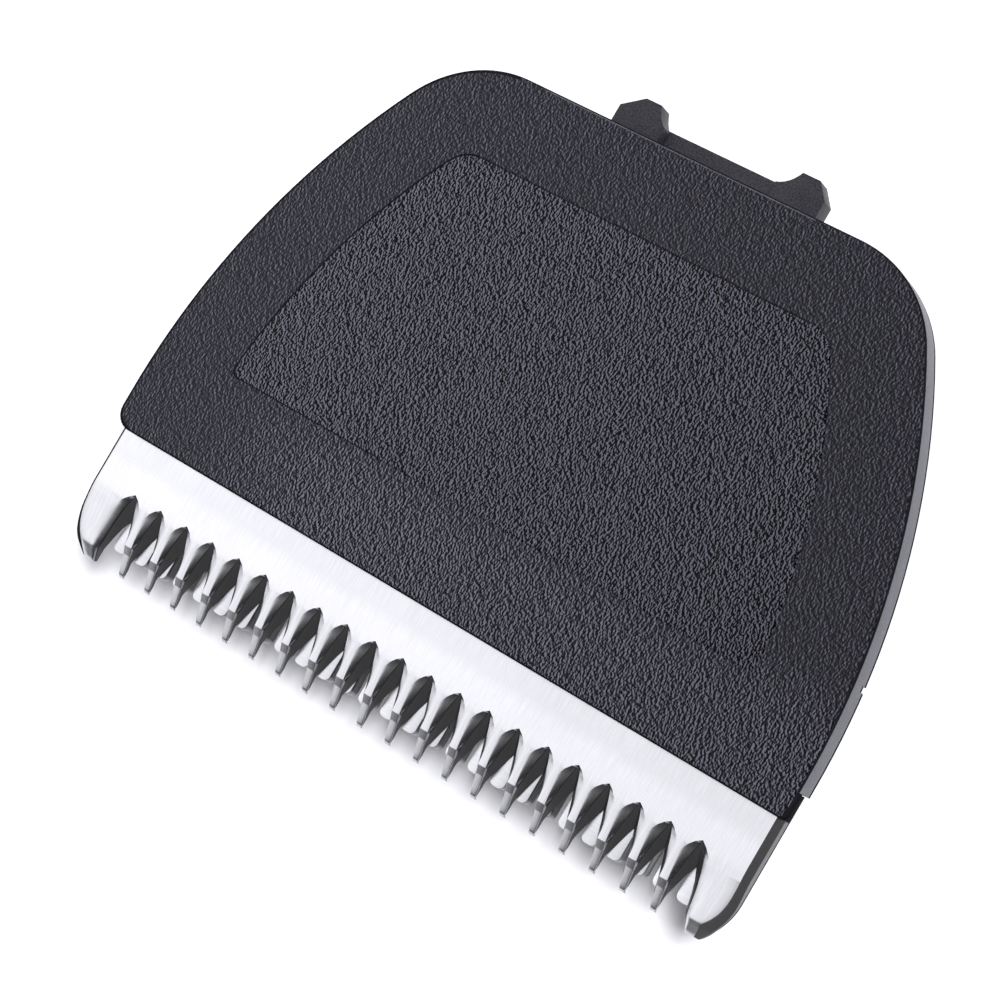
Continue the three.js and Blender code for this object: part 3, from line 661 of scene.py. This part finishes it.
def spring_line():
    """Points of the spring wire: leg, coil, bail, coil, leg."""
    wing_z = (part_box("drive_bridge")[1].z - TOP_Z) / MM - BRIDGE_WING
    leg_z = wing_z - SPRING_GAP - SPRING_WIRE
    bail_z = FRAME_UNDER - SPRING_GAP - SPRING_WIRE
    leg_turn = -math.atan2(leg_z - (COIL_Z - COIL_RADIUS), COIL_Y - LEG_TIP_Y - 1.5)
    sweep = math.radians(52) - leg_turn + COIL_TURNS * 2 * math.pi
    steps = 24 * COIL_TURNS

    def coil(k):
        turn = leg_turn + sweep * k / steps
        return (LEG_X + (BAIL_X - LEG_X) * k / steps, COIL_Y + COIL_RADIUS * math.sin(turn),
                COIL_Z - COIL_RADIUS * math.cos(turn))

    half = [(LEG_X, LEG_TIP_Y, leg_z), (LEG_X, LEG_TIP_Y + 1.2, leg_z), (LEG_X, LEG_TIP_Y + 2.4, leg_z - 0.2)]
    end = coil(0)
    for part in (0.4, 0.7, 0.93):
        half.append((LEG_X, LEG_TIP_Y + (end[1] - LEG_TIP_Y) * part, leg_z + (end[2] - leg_z) * part))
    half += [coil(k) for k in range(steps + 1)]
    half.append((BAIL_X, BAIL_Y - 0.6, bail_z - 0.7))
    half += [(BAIL_X - shift, BAIL_Y, bail_z) for shift in (0.5, 2)]
    return [*half, *[(-x, y, z) for x, y, z in reversed(half)]]


def wire_spring():
    """The wire as a tube along a smooth curve, with closed ends."""
    line = bpy.data.curves.new("wire", "CURVE")
    line.dimensions = "3D"
    line.bevel_depth = SPRING_WIRE * MM
    line.bevel_resolution = 4
    line.use_fill_caps = True
    line.resolution_u = 3
    points = spring_line()
    spline = line.splines.new("BEZIER")
    spline.bezier_points.add(len(points) - 1)
    for bezier, point in zip(spline.bezier_points, points):
        bezier.co = place(*point)
        bezier.handle_left_type = bezier.handle_right_type = "AUTO"
    holder = bpy.data.objects.new("wire", line)
    bpy.context.scene.collection.objects.link(holder)
    bpy.context.view_layer.update()
    mesh = bpy.data.meshes.new_from_object(holder.evaluated_get(bpy.context.evaluated_depsgraph_get()))
    bpy.data.objects.remove(holder)
    return finish_mesh("spring_wire", mesh)


def cross_cutter(x, y, z, depth):
    """A cross recess for the driver, open towards the screw's head."""
    long, half = 0.95, 0.2
    arms = [(half, long), (half, half), (long, half), (long, -half), (half, -half), (half, -long)]
    outline = [*arms, *[(-a, -b) for a, b in arms]]
    layers = ((0.72, depth), (1, 0), (1.1, -depth * 0.5))  # share of the full size, height
    points = [(x + a * share, y + b * share, z + height) for share, height in layers for a, b in outline]
    count = len(outline)
    faces = [list(range(count)), list(range(2 * count, 3 * count))]
    for layer in (0, 1):
        faces += [[layer * count + i, layer * count + (i + 1) % count, (layer + 1) * count + (i + 1) % count,
                   (layer + 1) * count + i] for i in range(count)]
    return solid("cross", points, faces)


def cover_screw(x, y):
    """A round-headed screw from below; its domed head is turned down."""
    seat, radius, height = -1.8, 2.2, 1.15
    turns = [math.pi / 2 * k / 9 for k in range(1, 9)]
    dome = [(radius * math.sin(turn), seat - height * math.cos(turn) ** 0.8) for turn in turns]
    shank = [(0.85, seat), (0.85, -0.3), (0.5, 0), (0, 0)]
    profile = [(0, seat - height), *dome, (radius, seat - 0.04), (2.16, seat), *shank]
    screw = turned("screw", profile, (x, y, 0))
    return carved(screw, cross_cutter(x, y, seat - height, 0.5))


def blade_screw(x, y):
    top = -0.04
    profile = [(0, -4.7), (0.35, -4.7), (0.6, -4.5), (0.85, -4.15), (0.85, -0.95), (1.66, top - 0.1),
               (1.7, top - 0.05), (1.66, top), (0, top)]
    return turned("screw", profile, (x, y, 0))


def bridge_rivet(x, y):
    low, high = ((corner.z - TOP_Z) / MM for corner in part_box("bridge_rivet_left"))
    head = low + 0.5
    profile = [(0, low), (0.45, low + 0.01), (0.8, low + 0.07), (1.05, low + 0.2), (1.2, low + 0.36),
               (1.25, head), (0.75, head), (0.75, high - 0.05), (0.7, high), (0, high)]
    return turned("rivet", profile, (x, y, 0))


def spring_pin(node):
    low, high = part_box(node)
    start, end = low.x / MM, high.x / MM
    radius = (high.z - low.z) / 2 / MM
    profile = [(0, start), (radius - 0.2, start), (radius - 0.06, start + 0.06), (radius, start + 0.2),
               (radius, end - 0.2), (radius - 0.06, end - 0.06), (radius - 0.2, end), (0, end)]
    return turned("pin", profile, (0, COIL_Y, COIL_Z), axis="X")


# ---- materials ----
class Material:
    """A node material: add() makes a node, and set inputs may be numbers, colours or output sockets."""

    def __init__(self, name, color, roughness, metallic=0.0, specular=0.5):
        self.data = bpy.data.materials.new(name)
        self.data.use_nodes = True
        self.nodes = self.data.node_tree.nodes
        self.links = self.data.node_tree.links
        self.shader = self.nodes["Principled BSDF"]
        self.set(self.shader, Metallic=metallic, Roughness=roughness)
        self.set(self.shader, **{"Base Color": (*color, 1), "Specular IOR Level": specular})

    def set(self, node, **inputs):
        for name, value in inputs.items():
            self.feed(node.inputs[name], value)
        return node

    def feed(self, socket, value):
        if isinstance(value, bpy.types.NodeSocket):
            self.links.new(value, socket)
        else:
            socket.default_value = value

    def add(self, kind, *values, **attributes):
        node = self.nodes.new("ShaderNode" + kind)
        for name, value in attributes.items():
            setattr(node, name, value)
        for socket, value in zip(node.inputs, values):
            self.feed(socket, value)
        return node

    def where(self, scale, shift):
        """Object coordinates in millimetres, stretched by scale along each axis and then moved by shift."""
        coords = self.add("TexCoord").outputs["Object"]
        mapping = self.add("Mapping")
        self.set(mapping, Vector=coords, Scale=[1000 * s for s in scale], Location=shift)
        return mapping.outputs["Vector"]

    def noise(self, scale, detail, shift=(0, 0, 0)):
        node = self.add("TexNoise")
        return self.set(node, Vector=self.where(scale, shift), Scale=1.0, Detail=detail).outputs["Fac"]

    def position(self):
        """Sockets with the object coordinates in metres, by axis."""
        return self.add("SeparateXYZ", self.add("TexCoord").outputs["Object"]).outputs

    def math(self, operation, *values):
        return self.add("Math", *values, operation=operation).outputs[0]

    def mapped(self, value, start, end, low, high):
        """low up to start, high from end on, and a straight line between them."""
        return self.add("MapRange", value, start, end, low, high).outputs[0]

    def ramp(self, value, *stops):
        node = self.add("ValToRGB", value)
        elements = node.color_ramp.elements
        while len(elements) < len(stops):
            elements.new(0.5)
        for element, (position, color) in zip(elements, stops):
            element.position = position
            element.color = (*color, 1)
        return node.outputs["Color"]

    def bump(self, height, distance):
        node = self.add("Bump")
        self.set(node, Height=height, Distance=distance * MM)
        self.feed(self.shader.inputs["Normal"], node.outputs["Normal"])


def grey(value):
    return (value, value, value * 1.04)


def cool(value):
    """The bluish charcoal of the plastic."""
    return (value, value, value * 1.27)


GRAIN_STRETCH = 0.72  # the grains are narrower across the head than from front to rear by this factor
GRAIN_SHIFT = (0.42, 0.15, 0)  # how far apart, in grains, the grain's slope is taken; it sets the side the painted light on the bumps falls from
GRAIN_STOPS = (0.425, 0.5, 0.575)  # where the tones for a slope in painted shade, for the flat and for a slope in painted light lie
SHADE_FADE_HALF = 16  # painted shading: the tone falls from this far left of the middle to as far right of it
SHADE_FADE_LEVELS = (1.12, 0.78)
BORDER_CONTRAST = 0.23  # how strongly the painted light and shade on the border's slopes show beside the panel's
FRONT_CONTRAST = 0.4  # what is added to it along the front


def grain(name, cell, depth, levels, roughness, contrast=None):
    """Leather-like grain of bumps about cell millimetres wide, a little longer from front to rear. Its tone
    is painted light and shade on the bumps' slopes: levels are the brightness of their side in painted shade,
    of the flat and of their side in painted light. contrast makes a value (0 to 1) that says how strongly the
    painted slopes show from place to place."""
    made = Material(name, cool(levels[1]), roughness, specular=0.1)
    scale = (1 / cell, GRAIN_STRETCH / cell, 1 / cell)
    height = made.noise(scale, detail=0.7)
    # The slope difference is painted light and shade on the bumps.
    slope = made.math("SUBTRACT", height, made.noise(scale, detail=0.7, shift=GRAIN_SHIFT))
    if contrast:
        slope = made.math("MULTIPLY", slope, contrast(made))
    made.bump(height, depth)
    stops = [(position, cool(tone)) for position, tone in zip(GRAIN_STOPS, levels)]
    made.feed(made.shader.inputs["Base Color"], made.ramp(made.math("ADD", slope, 0.5), *stops))
    # Painted shading across the lid, lighter on the left and darker on the right.
    tinted(made, made.mapped(made.position()["X"], -SHADE_FADE_HALF * MM, SHADE_FADE_HALF * MM, *SHADE_FADE_LEVELS))
    return made


def border_contrast(made):
    """The painted light and shade on the border's grain is weak at the sides and the rear. Along the front,
    except at its left end, it is stronger, though not as strong as the panel's."""
    coords = made.position()
    front = made.mapped(coords["Y"], ROOT_Y + 9 * MM, ROOT_Y + 6 * MM, 0.0, 1.0)
    right = made.mapped(coords["X"], -15 * MM, -7 * MM, 0.0, 1.0)
    share = made.math("MULTIPLY", front, right)
    return made.math("ADD", BORDER_CONTRAST, made.math("MULTIPLY", share, FRONT_CONTRAST))


def smooth_plastic(name, color, roughness, specular=0.5, hue=cool, speckle=0.1):
    """Plastic of nearly one tone; speckle is how far fine spots stand out from it."""
    made = Material(name, hue(color), roughness, specular=specular)
    cloud = made.noise((0.9, 0.9, 0.9), detail=3.0)
    fine = made.noise((11, 11, 11), detail=2.0)
    made.bump(fine, 0.004)
    tint = made.ramp(cloud, (0.3, hue(color * 0.86)), (0.7, hue(color * 1.14)))
    made.feed(made.shader.inputs["Base Color"], tint)
    tinted(made, made.mapped(fine, 0.38, 0.62, 1 - speckle, 1 + speckle))
    rough = made.math("ADD", roughness - 0.05, made.math("MULTIPLY", fine, 0.1))
    made.feed(made.shader.inputs["Roughness"], rough)
    return made


def tinted(made, factor):
    """Multiplies the material's base colour by a value."""
    base = made.shader.inputs["Base Color"]
    mixed = made.add("Mix", data_type="RGBA", blend_type="MULTIPLY")
    made.feed(mixed.inputs["Factor"], 1.0)
    made.feed(mixed.inputs["A"], base.links[0].from_socket)
    made.feed(mixed.inputs["B"], factor)
    made.feed(base, mixed.outputs["Result"])


def ground_steel(name, color, roughness, scale, depth, metallic=1.0):
    """Steel with fine grinding marks; scale says how they lie, in marks per millimetre along x, y and z."""
    made = Material(name, grey(color), roughness, metallic=metallic)
    marks = made.noise(scale, detail=4.0)
    cloud = made.noise((0.35, 0.35, 0.35), detail=3.0)
    made.bump(marks, depth)
    tint = made.ramp(marks, (0.3, grey(color * 0.93)), (0.7, grey(min(color * 1.04, 1))))
    made.feed(made.shader.inputs["Base Color"], tint)
    rough = made.math("ADD", roughness - 0.08, made.math("MULTIPLY", cloud, 0.16))
    made.feed(made.shader.inputs["Roughness"], rough)
    return made


def shade_steep_faces(made, color):
    """Paints shade on steep faces: the colour darkens as a face turns from flat towards upright, on the gaps'
    walls and the sides.
    """
    normal = made.add("SeparateXYZ", made.add("TexCoord").outputs["Normal"])
    tinted(made, made.mapped(normal.outputs["Z"], 0.45, 0.85, color, 1.0))
    return made


def grey_strip_by_lid(made, color):
    """A slightly greyer strip on the blade along the lid."""
    tinted(made, made.mapped(made.position()["Y"], ROOT_Y + 0.9 * MM, ROOT_Y + 1.5 * MM, 1.0, color))
    return made


# ---- assembly ----
def fit(piece, body, slot, materials, *nodes):
    """Rides the piece on its body, gives it its materials, and hides the CAD nodes it stands for."""
    for made in materials[len(piece.data.materials):]:
        piece.data.materials.append(made.data)
    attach(piece, body)
    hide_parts(*nodes)


lid_panel = grain("lid_panel_grain", 0.1, 0.03, (0.0003, 0.003, 0.085), 0.44)
lid_border = grain("lid_border_grain", 0.1, 0.02, (0.001, 0.012, 0.105), 0.48, border_contrast)
# Near-black plastic: painted shade on the lid's edges, panel line and rim foot.
lid_shade = smooth_plastic("lid_painted_shade", 0.008, 0.7, specular=0.0)
# Lighter plastic: painted light on the rim's side and a painted highlight on the rear edge; also the hidden
# inner faces and bosses.
lid_rim_lit = smooth_plastic("lid_rim_painted_light", 0.055, 0.36, speckle=0.4)
frame_plastic = smooth_plastic("carrier_plastic", 0.018, 0.46, specular=0.32, speckle=0.45)
# The comb's top steel, with painted shade on its steep faces.
blade_steel = grey_strip_by_lid(shade_steep_faces(ground_steel("blade_steel", 0.88, 0.24, (16, 0.8, 4), 0.0016), 0.32), 0.92)
# Darker finishes that are painted shade: a near-black line on edges, a darker steel on the outer side and a
# dark steel on the walls.
blade_edge_shade = smooth_plastic("blade_edge_painted_shade", 0.015, 0.6, specular=0.0, hue=grey)
blade_side_shade = ground_steel("blade_side_painted_shade", 0.14, 0.5, (5, 5, 1), 0.012, metallic=0.25)
blade_wall_shade = ground_steel("blade_wall_painted_shade", 0.045, 0.5, (3, 3, 9), 0.006, metallic=0.3)
# The cutter's steel, with painted shade on its steep sides.
cutter_steel = shade_steep_faces(ground_steel("cutter_steel", 0.9, 0.3, (1.2, 13, 4), 0.003), 0.15)
white_plastic = smooth_plastic("acetal", 0.78, 0.35, hue=grey)
spring_steel = ground_steel("spring_steel", 0.62, 0.22, (7, 7, 7), 0.001)
screw_steel = ground_steel("screw_steel", 0.55, 0.3, (9, 9, 9), 0.002)

fit(lid(), "head", "lid_plastic", (lid_panel, lid_border, lid_rim_lit, lid_shade), "top_cover")
blade = comb_blade()
blade_finishes = (blade_steel, blade_edge_shade, blade_side_shade, blade_wall_shade)
for made in blade_finishes:
    blade.data.materials.append(made.data)
carved(blade, countersink(-1), countersink(1))
blade.name = "comb_blade"
blade.data.set_sharp_from_angle(angle=math.radians(BLADE_SHARP))
fit(blade, "head", "blade_steel", blade_finishes, "fixed_blade")
fit(cutter(), "cutter", "cutter_steel", (cutter_steel,), "moving_blade")
fit(refined("carrier_frame", 0.08), "head", "frame_plastic", (frame_plastic,), "carrier_frame")
fit(refined("drive_bridge", 0.14), "cutter", "acetal", (white_plastic,), "drive_bridge")
fit(refined("guide_strip", 0.06), "head", "acetal", (white_plastic,), "guide_strip")
fit(wire_spring(), "head", "spring_steel", (spring_steel,), "pressure_spring")
for side, word in ((-1, "left"), (1, "right")):
    screw = blade_screw(side * BLADE_SCREW[0], BLADE_SCREW[1])
    screw.name = "blade_screw_body_" + word
    fit(screw, "head", "screw_steel", (screw_steel,), "blade_screw_" + word)
    rivet = bridge_rivet(CUTTER_MIDDLE + side * RIVET[0], RIVET[1])
    rivet.name = "bridge_rivet_body_" + word
    fit(rivet, "cutter", "screw_steel", (screw_steel,), "bridge_rivet_" + word)
    pin = spring_pin("spring_pin_" + word)
    pin.name = "spring_pin_body_" + word
    fit(pin, "head", "spring_steel", (spring_steel,), "spring_pin_" + word)
for (x, y), word in zip(COVER_SCREWS, ("front_left", "front_right", "rear_left", "rear_right")):
    screw = cover_screw(x, y)
    screw.name = "cover_screw_body_" + word
    fit(screw, "head", "screw_steel", (screw_steel,), "cover_screw_" + word)


# ---- floor, light and camera ----
def make_floor():
    half = 1.2
    bm = bmesh.new()
    bmesh.ops.create_grid(bm, x_segments=8, y_segments=8, size=half)
    mesh = bpy.data.meshes.new("floor")
    bm.to_mesh(mesh)
    bm.free()
    floor = bpy.data.objects.new("floor", mesh)
    bpy.context.scene.collection.objects.link(floor)
    paint = Material("floor_paint", grey(0.72), 0.9, specular=0.1)
    cloud = paint.noise((0.02, 0.02, 0.02), detail=2.0)
    paint.feed(paint.shader.inputs["Base Color"], paint.ramp(cloud, (0.3, grey(0.71)), (0.7, grey(0.73))))
    mesh.materials.append(paint.data)


def make_sky(strength, toward, stops):
    """One broad round light in the sky; stops give the level by the cosine of the angle from its middle."""
    world = bpy.data.worlds.new("studio")
    bpy.context.scene.world = world
    world.use_nodes = True
    tree = world.node_tree
    coords = tree.nodes.new("ShaderNodeTexCoord")
    angle = tree.nodes.new("ShaderNodeVectorMath")
    angle.operation = "DOT_PRODUCT"
    angle.inputs[1].default_value = Vector(toward).normalized()
    ramp = tree.nodes.new("ShaderNodeValToRGB")
    background = tree.nodes["Background"]
    background.inputs["Strength"].default_value = strength
    tree.links.new(coords.outputs["Generated"], angle.inputs[0])
    tree.links.new(angle.outputs["Value"], ramp.inputs[0])
    tree.links.new(ramp.outputs["Color"], background.inputs["Color"])
    elements = ramp.color_ramp.elements
    while len(elements) < len(stops):
        elements.new(0.5)
    for element, (position, level) in zip(elements, stops):
        element.position = position
        element.color = (level, level, level * 1.03, 1)


def make_softbox(middle, size, watts):
    """A large soft lamp that lights the floor and the plastic, and doesn't show in the steel."""
    light = bpy.data.lights.new("softbox", "AREA")
    light.size = size
    light.energy = watts
    lamp = bpy.data.objects.new("softbox", light)
    lamp.location = middle
    lamp.rotation_euler = (-Vector(middle)).to_track_quat("-Z", "Y").to_euler()
    lamp.visible_glossy = False
    bpy.context.scene.collection.objects.link(lamp)


def make_camera(target, distance, azimuth, elevation, roll, lens):
    """A camera that looks at target from distance (metres), azimuth and elevation, rolled about its own axis
    (degrees)."""
    az, el, turn = (math.radians(angle) for angle in (azimuth, elevation, roll))
    back = Vector((math.cos(el) * math.cos(az), math.cos(el) * math.sin(az), math.sin(el)))
    across = Vector((0, 0, 1)).cross(back).normalized()
    tall = back.cross(across)
    right = across * math.cos(turn) - tall * math.sin(turn)
    up = tall * math.cos(turn) + across * math.sin(turn)
    eye = Vector(target) + back * distance
    camera = bpy.data.cameras.new("camera")
    camera.lens = lens
    camera.sensor_width = 36
    camera.clip_start = 0.005
    holder = bpy.data.objects.new("camera", camera)
    turn_matrix = Matrix((right, up, back)).transposed().to_4x4()
    holder.matrix_world = Matrix.Translation(eye) @ turn_matrix
    bpy.context.scene.collection.objects.link(holder)
    bpy.context.scene.camera = holder


SKY_STOPS = ((0, 0.03), (0.4, 0.08), (0.54, 0.13), (0.62, 0.36), (0.72, 0.6), (0.93, 0.75), (0.97, 0.88),
             (1, 1))

make_floor()
make_sky(strength=1.3, toward=(-0.64, 0, 0.77), stops=SKY_STOPS)
make_softbox(middle=(0.262, 0.07, 0.535), size=0.12, watts=5.4)
make_camera(target=(0.00042, -0.00403, 0.008), distance=0.138, azimuth=-3.8, elevation=63.8, roll=56.25,
            lens=105)
bpy.context.scene.view_settings.view_transform = "Standard"
